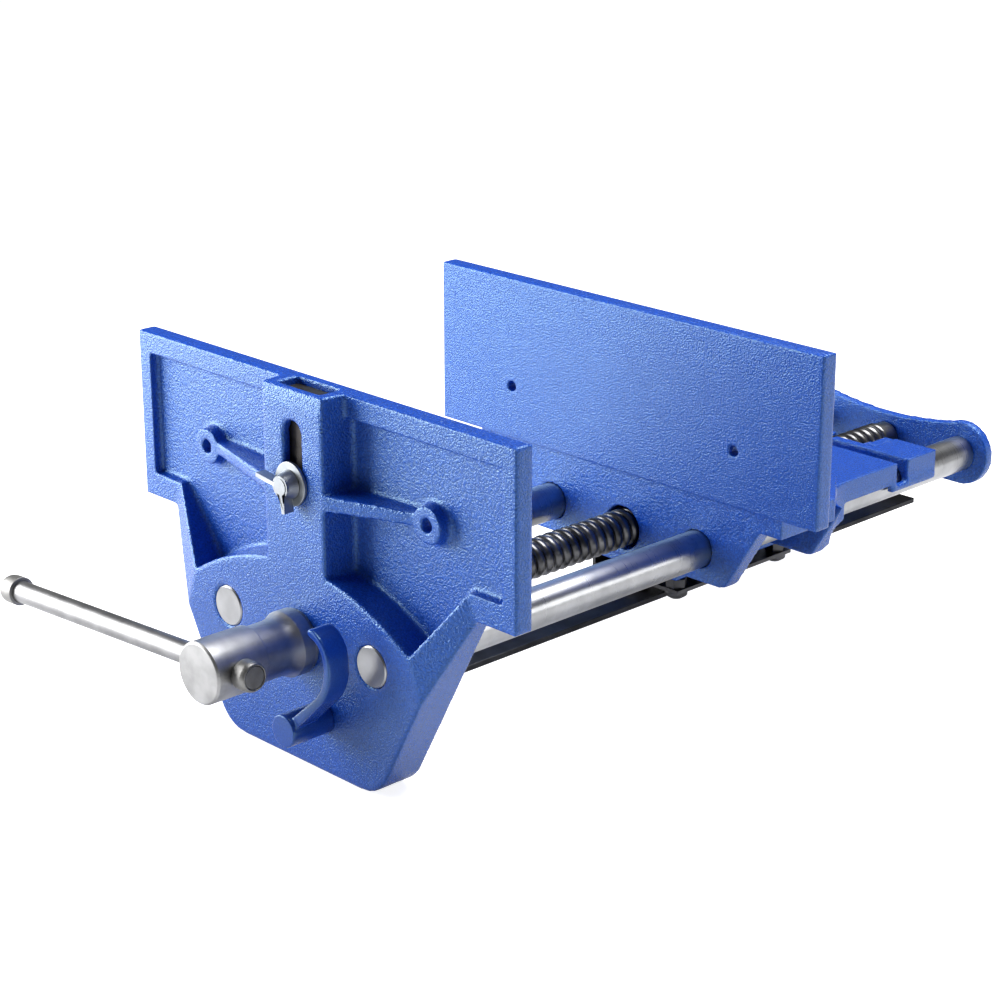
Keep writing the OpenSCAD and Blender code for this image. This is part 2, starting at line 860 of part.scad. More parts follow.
module bench_jaw() {
    liner_z = top_z - bench_liner_drop;
    end_y = cradle_end_y + cut;
    color("royalblue") difference() {
        union() {
            block([-jaw_w / 2, bench_face_y, 0], [jaw_w / 2, bench_back_y, top_z]);
            block([-flange_x, apron_y, -flange_t / 2], [flange_x, bench_back_y, wall]);
            across(apron_y, apron_y + web_t) web_outline();
            flange();
            rear_web();
            deck();
            rear_bearings();
            housing();
        }
        for (side = [-1, 1]) {
            bar_channel(side);
            along(side * liner_x, bench_face_y - cut, bench_back_y + cut, liner_z, bench_liner_d);
            upright(side * front_bolt_gap / 2, 0, -2 * flange_t, cut, bench_bolt_d);
            upright(side * rear_bolt_gap / 2, bolt_row_gap, deck_z - 2 * flange_t, deck_z + cut, bench_bolt_d);
        }
        along(0, apron_y - cut, end_y, screw_z, screw_d + 2 * screw_gap);
        block([-screw_r - screw_gap, slot_y, screw_z], [screw_r + screw_gap, end_y, deck_z + cut]);
        nut_room();
        keeper_places() upright(0, 0, -cut, keeper_grip, keeper_bolt_d + 2 * running);
    }
}

// Bore for a guide bar, its relief between bearings, its open underside
// behind the rear web, and the gap in front of its rear saddle
module bar_channel(side) {
    x = side * bar_x;
    half = bar_r + bar_room;
    web_back_y = web2_y + web_t;
    along(x, apron_y - cut, saddle_end_y + cut, bar_z, bar_d + 2 * running);
    along(x, apron_y + web_t, web2_y, bar_z, bar_d + 2 * bar_room);
    along(x, web_back_y, slot_y + relief_w, bar_z, bar_d + 2 * bar_room);
    block([x - half, web_back_y, web_foot_z - cut], [x + half, saddle_end_y + cut, bar_z - saddle_foot]);
    block([side > 0 ? relief_x : -deck_x - relief_w, slot_y, relief_z],
        [side > 0 ? deck_x + relief_w : -relief_x, slot_y + relief_w, deck_z + cut]);
}

module nut_room() {
    half = nut_w / 2 + nut_play;
    half_len = nut_len / 2 + nut_play;
    block([-half, nut_y - half_len, housing_z - cut], [half, nut_y + half_len, screw_z + screw_r + screw_gap]);
}

// Half nut: a block with a half bore, spring pockets and a claw below
module half_nut() {
    low_z = screw_z - screw_r - nut_floor;
    half = nut_w / 2;
    near_y = nut_y - nut_len / 2;
    far_y = nut_y + nut_len / 2;
    claw_near_y = nut_y - claw_len / 2;
    claw_far_y = nut_y + claw_len / 2;
    foot_z = claw_foot_z - claw_foot_t;
    color("dimgray") difference() {
        union() {
            block([-half, near_y, low_z], [half, far_y, screw_z]);
            block([claw_x - claw_t, claw_near_y, foot_z], [claw_x, claw_far_y, low_z + cut]);
            block([claw_x - claw_t, claw_near_y, foot_z], [claw_x + claw_under, claw_far_y, claw_foot_z]);
        }
        along(0, near_y - cut, far_y + cut, screw_z, screw_d + 2 * running);
        for (side = [-1, 1])
            upright(0, nut_y + side * spring_off, low_z - cut, keeper_top_z + spring_len + seat,
                spring_d + 2 * seat);
    }
}

// Compression springs between the keeper and the half nut
function coil_centre(i) = let (a = 360 * i / spring_rings)
    [spring_r * cos(a), spring_r * sin(a), spring_wire / 2 + spring_pitch * i / spring_rings];

function coil_ring(i) = let (a = 360 * i / spring_rings)
    [for (j = [0:spring_sides - 1]) let (b = 360 * j / spring_sides)
        coil_centre(i) + spring_wire / 2 * [cos(b) * cos(a), cos(b) * sin(a), sin(b)]];

module coil_spring() {
    rings = spring_turns * spring_rings;
    n = spring_sides;
    points = [for (i = [0:rings]) each coil_ring(i)];
    walls = [for (i = [0:rings - 1]) for (j = [0:n - 1])
        let (a = i * n + j, b = i * n + (j + 1) % n) each [[a, b, a + n], [b, b + n, a + n]]];
    first = [for (j = [1:n - 2]) [0, j + 1, j]];
    last = [for (j = [1:n - 2]) [rings * n, rings * n + j, rings * n + j + 1]];
    polyhedron(points, concat(first, walls, last));
}

module half_nut_springs() {
    gap = norm(coil_centre(spring_rings) - coil_centre(0)) - spring_wire;
    echo(least_spring_gap = gap);
    color("silver") for (side = [-1, 1])
        translate([0, nut_y + side * spring_off, keeper_top_z]) coil_spring();
}

// Keeper: a steel channel bolted below the housing, slotted for the claw
module keeper_plate() {
    low_z = keeper_top_z - keeper_t;
    room = 2 * seat;
    rim_z = housing_z - seat;
    color("dimgray") difference() {
        union() {
            block([-keeper_left, keeper_front_y, low_z], [keeper_right, keeper_back_y, keeper_top_z]);
            block([-keeper_left, keeper_front_y, low_z], [keeper_t - keeper_left, keeper_back_y, rim_z]);
            block([keeper_right - keeper_t, keeper_front_y, low_z], [keeper_right, keeper_back_y, rim_z]);
        }
        block([claw_x - claw_t - room, nut_y - claw_len / 2 - room, low_z - cut],
            [claw_x + claw_under + room, nut_y + claw_len / 2 + room, keeper_top_z + cut]);
        keeper_places() upright(0, 0, keeper_top_z - 2 * keeper_t - housing_z, 0, keeper_bolt_d + seat);
    }
}

// The four bolt places of the keeper, on the housing's underside
module keeper_places() {
    for (side = [-1, 1]) for (y = keeper_bolts_y)
        translate([trigger_x + side * keeper_bolt_x, y, housing_z]) children();
}

module keeper_bolts() {
    under = keeper_nut_h + keeper_t;
    edge = keeper_head_d / 6;
    color("dimgray") keeper_places() {
        upright(0, 0, -under, keeper_grip - seat, keeper_bolt_d);
        upright(0, 0, edge - under - keeper_head_h, -under, keeper_head_d);
        translate([0, 0, -under - keeper_head_h])
            cylinder(d1 = keeper_head_d - 3 * edge, d2 = keeper_head_d, h = edge);
    }
}

module keeper_nuts() {
    color("lightgray") keeper_places() translate([0, 0, -keeper_nut_h])
        hex_nut(keeper_nut_af, keeper_nut_h, keeper_bolt_d + 2 * running);
}

bench_jaw();
keeper_plate();
keeper_bolts();
keeper_nuts();
half_nut();
half_nut_springs();
front_jaw();
guide_bar_left();
guide_bar_right();
bar_pins();
rear_plate();
rear_plate_washers();
rear_plate_nuts();
main_screw();
screw_head();
head_pin();
thrust_washer();
retaining_collar();
collar_pin();
tommy_bar();
knob_left();
knob_right();
release_trigger();
trigger_pin();
release_bar();
dog();
dog_washer();
wing_screw();
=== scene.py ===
"""A quick-release woodworking vise, dressed over its solid model.

Metres, in the model's own frame: +X right seen from the front jaw, +Y away
from the user along the guide bars, +Z up, origin between the front bolts.
"""

import json
import math

import bmesh
import bpy
import numpy as np
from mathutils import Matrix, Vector


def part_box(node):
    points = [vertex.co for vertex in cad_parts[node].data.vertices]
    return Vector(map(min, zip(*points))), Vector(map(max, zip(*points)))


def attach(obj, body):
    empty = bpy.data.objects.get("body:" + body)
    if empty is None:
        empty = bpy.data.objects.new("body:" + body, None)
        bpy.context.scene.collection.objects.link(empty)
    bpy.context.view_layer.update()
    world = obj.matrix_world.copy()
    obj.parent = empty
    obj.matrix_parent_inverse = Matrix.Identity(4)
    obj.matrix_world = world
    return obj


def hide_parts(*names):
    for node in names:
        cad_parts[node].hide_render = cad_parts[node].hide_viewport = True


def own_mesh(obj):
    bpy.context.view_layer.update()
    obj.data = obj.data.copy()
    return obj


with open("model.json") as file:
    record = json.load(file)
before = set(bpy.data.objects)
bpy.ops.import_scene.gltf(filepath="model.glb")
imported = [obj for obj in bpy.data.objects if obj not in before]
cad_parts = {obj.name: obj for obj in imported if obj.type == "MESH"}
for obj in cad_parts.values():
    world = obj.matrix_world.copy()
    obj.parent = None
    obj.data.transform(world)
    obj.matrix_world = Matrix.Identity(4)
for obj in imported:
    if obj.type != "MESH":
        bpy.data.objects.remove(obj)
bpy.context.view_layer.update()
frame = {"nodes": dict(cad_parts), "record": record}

# The camera, the floor and the lights
#
# A long lens stands to the right of the front jaw and looks down on the vise,
# as a photographer would set it. A pale floor runs under it, a large soft box
# stands low at the left front, one hangs above, and a weak one is behind right.
camera_place = Vector((0.80661, -0.89395, 0.39598))
camera_yaw = math.radians(45.978)
camera_pitch = math.radians(19.257)
camera_data = bpy.data.cameras.new("camera")
camera_data.lens = 86.08
camera_data.sensor_width = 36.0
camera_data.clip_end = 50.0
camera = bpy.data.objects.new("camera", camera_data)
bpy.context.scene.collection.objects.link(camera)
camera.location = camera_place
look = Vector((
    -math.sin(camera_yaw) * math.cos(camera_pitch),
    math.cos(camera_yaw) * math.cos(camera_pitch),
    -math.sin(camera_pitch),
))
camera.rotation_euler = look.to_track_quat("-Z", "Y").to_euler()
bpy.context.scene.camera = camera
bpy.context.scene.view_settings.view_transform = "Standard"


def plain_material(name):
    """A new material and the Principled shader in it."""
    material = bpy.data.materials.new(name)
    material.use_nodes = True
    return material, material.node_tree.nodes["Principled BSDF"]


def mesh_piece(name, points, faces):
    """An object with its mesh from an array of points and lists of corner numbers."""
    mesh = bpy.data.meshes.new(name)
    mesh.from_pydata(np.asarray(points, float).tolist(), [], faces)
    mesh.update()
    piece = bpy.data.objects.new(name, mesh)
    bpy.context.scene.collection.objects.link(piece)
    return piece


floor_z = -0.0955
floor_half = 6.0
floor_white = 0.86
floor_mirrored_share = 0.28
floor = mesh_piece(
    "floor",
    [(-floor_half, -floor_half, floor_z), (floor_half, -floor_half, floor_z),
     (floor_half, floor_half, floor_z), (-floor_half, floor_half, floor_z)],
    [(0, 1, 2, 3)],
)
floor_material, floor_shader = plain_material("floor")
floor_shader.inputs["Base Color"].default_value = (0.66, 0.66, 0.67, 1.0)
floor_shader.inputs["Roughness"].default_value = 0.9
floor_shader.inputs["Specular IOR Level"].default_value = 0.1
floor_shader.inputs["Emission Color"].default_value = (1.0, 1.0, 1.0, 1.0)
floor_nodes = floor_material.node_tree.nodes
floor_links = floor_material.node_tree.links
floor_path = floor_nodes.new("ShaderNodeLightPath")
floor_seen = floor_nodes.new("ShaderNodeMath")
floor_seen.operation = "MULTIPLY_ADD"
floor_seen.inputs[1].default_value = floor_mirrored_share
floor_glow = floor_nodes.new("ShaderNodeMath")
floor_glow.operation = "MULTIPLY"
floor_glow.inputs[1].default_value = floor_white
floor_links.new(floor_path.outputs["Is Glossy Ray"], floor_seen.inputs[0])
floor_links.new(floor_path.outputs["Is Camera Ray"], floor_seen.inputs[2])
floor_links.new(floor_seen.outputs["Value"], floor_glow.inputs[0])
floor_links.new(floor_glow.outputs["Value"], floor_shader.inputs["Emission Strength"])
floor.data.materials.append(floor_material)

world = bpy.data.worlds.new("studio")
bpy.context.scene.world = world
world.use_nodes = True
world_nodes = world.node_tree.nodes
world_links = world.node_tree.links
world_shader = world_nodes["Background"]
world_shader.inputs["Color"].default_value = (0.99, 0.995, 1.0, 1.0)
world_path = world_nodes.new("ShaderNodeLightPath")
world_seen = world_nodes.new("ShaderNodeMix")
world_seen.data_type = "FLOAT"
world_seen.inputs["A"].default_value = 0.10
world_seen.inputs["B"].default_value = 1.0
world_links.new(world_path.outputs["Is Camera Ray"], world_seen.inputs["Factor"])
world_links.new(world_seen.outputs["Result"], world_shader.inputs["Strength"])


def soft_box(name, place, target, size, power):
    """A square lamp of the given side at place, turned to shine at target."""
    data = bpy.data.lights.new(name, "AREA")
    data.shape = "SQUARE"
    data.size = size
    data.energy = power
    lamp = bpy.data.objects.new(name, data)
    bpy.context.scene.collection.objects.link(lamp)
    lamp.location = place
    lamp.rotation_euler = (Vector(target) - Vector(place)).to_track_quat("-Z", "Y").to_euler()
    return lamp


middle = (0.0, -0.05, 0.0)
soft_box("key", (-0.80, -0.70, 0.24), middle, size=0.75, power=18.5)
soft_box("top", (0.1, 0.55, 1.7), middle, size=1.2, power=58.0)
soft_box("fill", (1.35, 1.00, 0.34), middle, size=0.6, power=4.2)

# The two jaws and the rear plate
#
# Grey iron castings from sand moulds, so every edge and corner is rounded by a
# millimetre or so. They are sprayed with a blue hammertone paint, whose film
# dries in small glossy hollows about a millimetre across.
casting_grid = 0.0010
casting_passes = 4
weld_distance = 2e-6
flat_degrees = 0.2


def joined_copy(node, name):
    """A piece with the shape of a CAD node: its loose triangles joined at their
    corners, and the triangles of each flat face made one face."""
    mesh = frame["nodes"][node].data.copy()
    mesh.name = name
    mesh.materials.clear()
    work = bmesh.new()
    work.from_mesh(mesh)
    bmesh.ops.remove_doubles(work, verts=work.verts, dist=weld_distance)
    bmesh.ops.dissolve_limit(
        work, angle_limit=math.radians(flat_degrees), verts=work.verts, edges=work.edges)
    work.to_mesh(mesh)
    work.free()
    piece = bpy.data.objects.new(name, mesh)
    bpy.context.scene.collection.objects.link(piece)
    return piece


def settled(piece):
    """The piece with its modifiers worked into its mesh."""
    graph = bpy.context.evaluated_depsgraph_get()
    mesh = bpy.data.meshes.new_from_object(piece.evaluated_get(graph))
    piece.modifiers.clear()
    piece.data = mesh
    return piece


def cast(piece, grid, passes, share):
    """Turns a sharp solid into a casting: the skin is laid anew on a grid, and
    each pass of smoothing rounds the edges and fills the corners a little more.
    share: the part of the triangles that is kept, fewest on the flats."""
    skin = piece.modifiers.new("skin", "REMESH")
    skin.mode = "VOXEL"
    skin.voxel_size = grid
    worn = piece.modifiers.new("worn", "SMOOTH")
    worn.factor = 0.5
    worn.iterations = passes
    thinned = piece.modifiers.new("thinned", "DECIMATE")
    thinned.ratio = share
    settled(piece)
    piece.data.shade_smooth()
    flats = piece.modifiers.new("flats", "WEIGHTED_NORMAL")
    flats.keep_sharp = False
    return piece


def smooth_by_angle(piece, degrees):
    """Shades a piece smooth, with edges sharper than the angle left crisp and
    the large faces kept flat."""
    piece.data.shade_smooth()
    piece.data.set_sharp_from_angle(angle=math.radians(degrees))
    flats = piece.modifiers.new("flats", "WEIGHTED_NORMAL")
    flats.keep_sharp = True


def round_edges(piece, width, segments, degrees):
    """Rounds the edges where faces meet at more than the angle."""
    bevel = piece.modifiers.new("rounding", "BEVEL")
    bevel.width = width
    bevel.segments = segments
    bevel.limit_method = "ANGLE"
    bevel.angle_limit = math.radians(degrees)
    bevel.use_clamp_overlap = True
    bevel.miter_outer = "MITER_ARC"
    bevel.harden_normals = False


def place_for(piece, node, material):
    """Puts a piece on the body of its CAD node, in its finish."""
    piece.data.materials.clear()
    piece.data.materials.append(material)
    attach(piece, next(body for body, names in bodies.items() if node in names))
    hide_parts(node)
    return piece


def dress(node, width, material, segments=2, degrees=32, smooth=40):
    """A rounded copy of a machined CAD node, in its place and finish."""
    piece = joined_copy(node, node + "_dressed")
    round_edges(piece, width, segments, degrees)
    smooth_by_angle(piece, smooth)
    return place_for(piece, node, material)


bodies = frame["record"]["behaviour"]["bodies"]


def hammertone(name, colour, cell, depth, contrast):
    """Blue hammertone paint: a smooth noise of the given cell size dents the
    film, and the same noise makes the raised rims lighter by the contrast."""
    material, shader = plain_material(name)
    nodes = material.node_tree.nodes
    links = material.node_tree.links
    place = nodes.new("ShaderNodeTexCoord")
    cells = nodes.new("ShaderNodeTexNoise")
    cells.inputs["Scale"].default_value = 1.0 / cell
    cells.inputs["Detail"].default_value = 2.0
    cells.inputs["Roughness"].default_value = 0.45
    links.new(place.outputs["Object"], cells.inputs["Vector"])
    tint = nodes.new("ShaderNodeValToRGB")
    tint.color_ramp.elements[0].position = 0.3
    tint.color_ramp.elements[0].color = (*[(1.0 - contrast) * c for c in colour], 1.0)
    tint.color_ramp.elements[1].position = 0.7
    tint.color_ramp.elements[1].color = (*[(1.0 + contrast) * c for c in colour], 1.0)
    links.new(cells.outputs["Fac"], tint.inputs["Fac"])
    links.new(tint.outputs["Color"], shader.inputs["Base Color"])
    bump = nodes.new("ShaderNodeBump")
    bump.inputs["Strength"].default_value = 0.9
    bump.inputs["Distance"].default_value = depth
    links.new(cells.outputs["Fac"], bump.inputs["Height"])
    links.new(bump.outputs["Normal"], shader.inputs["Normal"])
    shader.inputs["Roughness"].default_value = 0.25
    shader.inputs["IOR"].default_value = 1.5
    shader.inputs["Specular IOR Level"].default_value = 1.0
    shader.inputs["Specular Tint"].default_value = (0.45, 0.81, 0.95, 1.0)
    shader.inputs["Coat Weight"].default_value = 0.05
    shader.inputs["Coat Roughness"].default_value = 0.15
    links.new(bump.outputs["Normal"], shader.inputs["Coat Normal"])
    return material


paint_blue = (0.008, 0.062, 0.415)
paint = hammertone("blue_hammertone", paint_blue, cell=0.00088, depth=0.00054,
                   contrast=0.32)
saddle_x = 0.052
saddle_z = -0.031
saddle_core = 0.0125
deck_z = -0.016
deck_x = 0.066
cradle_x = 0.012
strip_y = 0.1335
strip_end_y = 0.1395
saddle_end_y = 0.159
strip_drop = 0.003
saddle_arc_end = 90
strip_arc_end = 165
bench_share = 0.45
jaw_share = 0.5


def bar_arc(low, high, steps=9):
    """Points of X and Z round a guide bar, inside its saddle's wall, between
    two angles counted from +X towards +Z."""
    angle = np.radians(np.linspace(low, high, steps))
    return np.stack([saddle_x + saddle_core * np.cos(angle),
                     saddle_z + saddle_core * np.sin(angle)], axis=-1).tolist()


def add_prism(piece, outline, y_from, y_to):
    """Adds a closed prism to a piece's mesh, from an outline of (x, z) rows,
    and its mirror image on the other side."""
    work = bmesh.new()
    work.from_mesh(piece.data)
    for side in (1, -1):
        near = [work.verts.new((side * x, y_from, z)) for x, z in outline]
        far = [work.verts.new((side * x, y_to, z)) for x, z in outline]
        count = len(outline)
        shell = [work.faces.new(near), work.faces.new(far[::-1])]
        shell += [
            work.faces.new((near[(i + 1) % count], near[i], far[i], far[(i + 1) % count]))
            for i in range(count)]
        bmesh.ops.recalc_face_normals(work, faces=shell)
    work.to_mesh(piece.data)
    work.free()


bench_casting = joined_copy("bench_jaw", "bench_jaw_cast")
saddle_corner = [(saddle_x, deck_z), (deck_x, deck_z), (deck_x, saddle_z)]
strip_top = [(cradle_x, saddle_z + strip_drop), (cradle_x, deck_z), (saddle_x, deck_z)]
add_prism(bench_casting, saddle_corner + bar_arc(0, saddle_arc_end), strip_y, saddle_end_y)
add_prism(bench_casting, strip_top + bar_arc(saddle_arc_end, strip_arc_end),
          strip_y, strip_end_y)
place_for(cast(bench_casting, casting_grid, casting_passes, bench_share),
          "bench_jaw", paint)
for node in ("front_jaw", "rear_plate"):
    casting = cast(joined_copy(node, node + "_cast"), casting_grid, casting_passes, jaw_share)
    place_for(casting, node, paint)

# The release trigger
#
# A small casting whose round hub turns beside the screw, with a curved blade
# for the fingers. It is painted like the jaws, darker and smoother.
trigger_blue = (0.007, 0.045, 0.33)
trigger_grid = 0.0006
trigger_passes = 5
trigger_share = 0.5
trigger_paint = hammertone("blue_smooth", trigger_blue, cell=0.0008, depth=0.0001,
                           contrast=0.15)
trigger = cast(joined_copy("release_trigger", "release_trigger_cast"),
               trigger_grid, trigger_passes, trigger_share)
place_for(trigger, "release_trigger", trigger_paint)

# The guide bars
#
# Two ground steel bars, pinned in the front jaw with their ends flush on its
# face. Each has a threaded spigot behind the rear plate.


def turned(profile, axis_x, axis_z, sides=96):
    """Points and faces of a surface of revolution about a line along Y.

    profile: rows of (y, r). A point is (x + r sin a, y, z + r cos a)."""
    profile = np.asarray(profile, float)
    angle = np.linspace(0.0, 2.0 * np.pi, sides, endpoint=False)
    y, radius = profile[:, 0], profile[:, 1]
    points = np.stack([
        axis_x + radius[:, None] * np.sin(angle),
        np.repeat(y[:, None], sides, axis=1),
        axis_z + radius[:, None] * np.cos(angle),
    ], axis=-1).reshape(-1, 3)
    return points, grid_faces(len(profile), sides)


def grid_faces(rows, columns):
    """Corner numbers of a tube's quads: rows along it, columns round it."""
    row = np.arange(rows - 1)[:, None] * columns
    column = np.arange(columns)
    beside = (column + 1) % columns
    quads = np.stack([row + column, row + columns + column,
                      row + columns + beside, row + beside], axis=-1)
    return quads.reshape(-1, 4).tolist()


pole_distance = 1e-6


def close_poles(piece):
    """Joins the points that meet on the axis and turns all faces outwards."""
    work = bmesh.new()
    work.from_mesh(piece.data)
    bmesh.ops.remove_doubles(work, verts=work.verts, dist=pole_distance)
    bmesh.ops.recalc_face_normals(work, faces=work.faces)
    work.to_mesh(piece.data)
    work.free()


cross_marks = 40.0
stain_reach = 2.2
rough_below = 0.04
rough_above = 0.06


def steel(name, colour, roughness, along, marks, depth, stain=0.12):
    """Bare turned or ground steel: a noise squeezed along one axis makes fine
    tool marks round it, and a large soft noise stains the metal."""
    material, shader = plain_material(name)
    nodes = material.node_tree.nodes
    links = material.node_tree.links
    place = nodes.new("ShaderNodeTexCoord")
    squeeze = nodes.new("ShaderNodeMapping")
    squeeze.inputs["Scale"].default_value = [
        marks if axis == along else cross_marks for axis in "xyz"]
    links.new(place.outputs["Object"], squeeze.inputs["Vector"])
    tool = nodes.new("ShaderNodeTexNoise")
    tool.inputs["Scale"].default_value = 1.0
    tool.inputs["Detail"].default_value = 3.0
    links.new(squeeze.outputs["Vector"], tool.inputs["Vector"])
    cloud = nodes.new("ShaderNodeTexNoise")
    cloud.inputs["Scale"].default_value = 90.0
    cloud.inputs["Detail"].default_value = 5.0
    links.new(place.outputs["Object"], cloud.inputs["Vector"])
    tint = nodes.new("ShaderNodeValToRGB")
    tint.color_ramp.elements[0].position = 0.35
    tint.color_ramp.elements[0].color = (
        *[(1.0 - stain_reach * stain) * c for c in colour], 1.0)
    tint.color_ramp.elements[1].position = 0.62
    tint.color_ramp.elements[1].color = (*colour, 1.0)
    links.new(cloud.outputs["Fac"], tint.inputs["Fac"])
    links.new(tint.outputs["Color"], shader.inputs["Base Color"])
    rough = nodes.new("ShaderNodeMapRange")
    rough.inputs["To Min"].default_value = roughness - rough_below
    rough.inputs["To Max"].default_value = roughness + rough_above
    links.new(tool.outputs["Fac"], rough.inputs["Value"])
    links.new(rough.outputs["Result"], shader.inputs["Roughness"])
    bump = nodes.new("ShaderNodeBump")
    bump.inputs["Strength"].default_value = 0.25
    bump.inputs["Distance"].default_value = depth
    links.new(tool.outputs["Fac"], bump.inputs["Height"])
    links.new(bump.outputs["Normal"], shader.inputs["Normal"])
    shader.inputs["Metallic"].default_value = 1.0
    return material


crest_half_share = 0.46
fade_share = 0.6
end_chamfer = 0.0006
chamfer_share = 0.2


def thread_wave(phase):
    """Height of a thread over one turn, 1 on the crest and 0 in the root: half
    an ellipse across most of the pitch, with a narrow flat groove between."""
    offset = (phase + 0.5) % 1.0 - 0.5
    return np.sqrt(np.maximum(0.0, 1.0 - (offset / crest_half_share) ** 2))


def threaded(sections, axis_x, axis_z, pitch, depth, columns=56, per_turn=14):
    """Points and faces of a shaft along Y with a right-hand thread on parts.

    sections: rows of (y from, y to, radius, threaded). The radius at (y, a) is
    R - depth (1 - wave(y / pitch - a / 2 pi)) where threaded, fading to a
    plain end over part of a turn, and R elsewhere."""
    rows = [(sections[0][0], 0.0, False, 0.0)]
    for start, end, radius, cut_thread in sections:
        if cut_thread:
            count = int((end - start) / pitch * per_turn)
            for y in np.linspace(start, end, count):
                fade = min(1.0, (y - start) / (fade_share * pitch),
                           (end - y) / (fade_share * pitch))
                rows.append((y, radius, True, fade))
        else:
            edge = min(end_chamfer, chamfer_share * (end - start))
            rows += [(start, radius - edge, False, 0.0), (start + edge, radius, False, 0.0),
                     (end - edge, radius, False, 0.0), (end, radius - edge, False, 0.0)]
    rows.append((sections[-1][1], 0.0, False, 0.0))
    y = np.array([row[0] for row in rows])
    radius = np.array([row[1] for row in rows])
    fade = np.array([row[3] for row in rows])
    angle = np.linspace(0.0, 2.0 * np.pi, columns, endpoint=False)
    wave = thread_wave(y[:, None] / pitch - angle[None, :] / (2.0 * np.pi))
    surface = radius[:, None] - depth * fade[:, None] * (1.0 - wave)
    points = np.stack([
        axis_x + surface * np.sin(angle),
        np.repeat(y[:, None], columns, axis=1),
        axis_z + surface * np.cos(angle),
    ], axis=-1).reshape(-1, 3)
    return points, grid_faces(len(y), columns)


def add_turned(name, points, faces, body, material, nodes, smooth=35):
    """Adds a turned piece, closed and facing outwards, for its CAD nodes."""
    piece = mesh_piece(name, points, faces)
    close_poles(piece)
    smooth_by_angle(piece, smooth)
    piece.data.materials.append(material)
    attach(piece, body)
    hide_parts(*nodes)
    return piece


bar_steel = steel("ground_bars", (0.44, 0.445, 0.455), roughness=0.28,
                  along="y", marks=2600.0, depth=0.0000015, stain=0.08)
bar_radius = 0.010
bar_x = 0.052
bar_z = -0.031
bar_front_y = -0.2457
rear_plate_y = 0.202
spigot_radius = 0.006
spigot_pitch = 0.00175
spigot_depth = 0.0009
for side, bar_node in ((-1, "guide_bar_left"), (1, "guide_bar_right")):
    spigot_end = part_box(bar_node)[1][1]
    bar_points, bar_faces = threaded(
        [(bar_front_y, rear_plate_y, bar_radius, False),
         (rear_plate_y, spigot_end, spigot_radius, True)],
        side * bar_x, bar_z, spigot_pitch, spigot_depth)
    add_turned(bar_node + "_ground", bar_points, bar_faces, "front_jaw",
               bar_steel, [bar_node])

# The main screw
#
# Dark oily steel with a single-start thread, worn round on its crests. It is
# plain where it turns in the front jaw and, a little thinner, at its tail.
screw_steel = steel("oiled_screw", (0.20, 0.20, 0.205), roughness=0.30,
                    along="y", marks=900.0, depth=0.00003, stain=0.3)
screw_z = -0.033
screw_radius = 0.01025
screw_low, screw_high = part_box("main_screw")
screw_pitch = 0.00635
screw_depth = 0.0024
head_spigot_radius = 0.008
journal_y = -0.2540
thread_start_y = -0.2230
thread_end_y = 0.1910
plain_end_radius = 0.00935
tail_y = 0.2010
tail_radius = 0.007
screw_points, screw_faces = threaded(
    [(screw_low[1], journal_y, head_spigot_radius, False),
     (journal_y, thread_start_y, screw_radius, False),
     (thread_start_y, thread_end_y, screw_radius, True),
     (thread_end_y, tail_y, plain_end_radius, False),
     (tail_y, screw_high[1], tail_radius, False)],
    0.0, screw_z, screw_pitch, screw_depth, columns=72, per_turn=20)
add_turned("main_screw_threaded", screw_points, screw_faces, "screw",
           screw_steel, ["main_screw"], smooth=50)

# The screw's head, its washer, collar and pins
#
# The head is turned from bright bar: a front drum crossed by the handle, a
# neck, and a collar that bears on a thin washer against the front jaw.
head_steel = steel("turned_head", (0.44, 0.44, 0.44), roughness=0.42,
                   along="y", marks=1500.0, depth=0.000004, stain=0.12)
head_front_y, head_back_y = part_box("screw_head")[0][1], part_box("screw_head")[1][1]
head_radius = 0.015
neck_radius = 0.0136
head_collar_radius = 0.016
drum_length = 0.0295
head_collar_length = 0.0070
head_step_y = head_front_y + drum_length
head_collar_y = head_back_y - head_collar_length
front_rim = [(0.0, -0.0012), (0.0003, -0.0006), (0.0012, 0.0)]
step_rim = [(-0.0008, 0.0), (-0.0002, -0.0003), (0.0, -0.0008)]
neck_start = [(0.0004, 0.0001), (0.0010, 0.0)]
neck_flare = [(-0.0070, 0.0), (-0.0040, 0.0005), (-0.0015, 0.0014)]
collar_rim = [(-0.0003, -0.0003), (0.0003, 0.0)]
back_rim = [(-0.0006, 0.0), (0.0, -0.0006)]


def rows_at(rows, y, radius):
    """Profile rows (y, r) from rows of offsets from one y and one radius."""
    return [(y + along, radius + out) for along, out in rows]


head_profile = (
    [(head_front_y, 0.0)]
    + rows_at(front_rim, head_front_y, head_radius)
    + rows_at(step_rim, head_step_y, head_radius)
    + rows_at(neck_start, head_step_y, neck_radius)
    + rows_at(neck_flare, head_collar_y, neck_radius)
    + rows_at(collar_rim, head_collar_y, head_collar_radius)
    + rows_at(back_rim, head_back_y, head_collar_radius)
    + [(head_back_y, 0.0)])
head_points, head_faces = turned(head_profile, 0.0, screw_z, sides=128)
head = mesh_piece("screw_head_turned", head_points, head_faces)
close_poles(head)
handle_y = -0.290
handle_turn = math.radians(3.5)
handle_hole = 0.0056
drill_half = 0.03
drill_points, drill_faces = turned(
    [(-drill_half, 0.0), (-drill_half, handle_hole), (drill_half, handle_hole),
     (drill_half, 0.0)], 0.0, 0.0)
across = np.array([math.cos(handle_turn), 0.0, math.sin(handle_turn)])
upright = np.array([-math.sin(handle_turn), 0.0, math.cos(handle_turn)])
drill_points = (drill_points[:, 1:2] * across + drill_points[:, 2:3] * upright
                + drill_points[:, 0:1] * np.array([0.0, -1.0, 0.0]) + [0.0, handle_y, screw_z])
drill = mesh_piece("handle_drill", drill_points, drill_faces)
close_poles(drill)
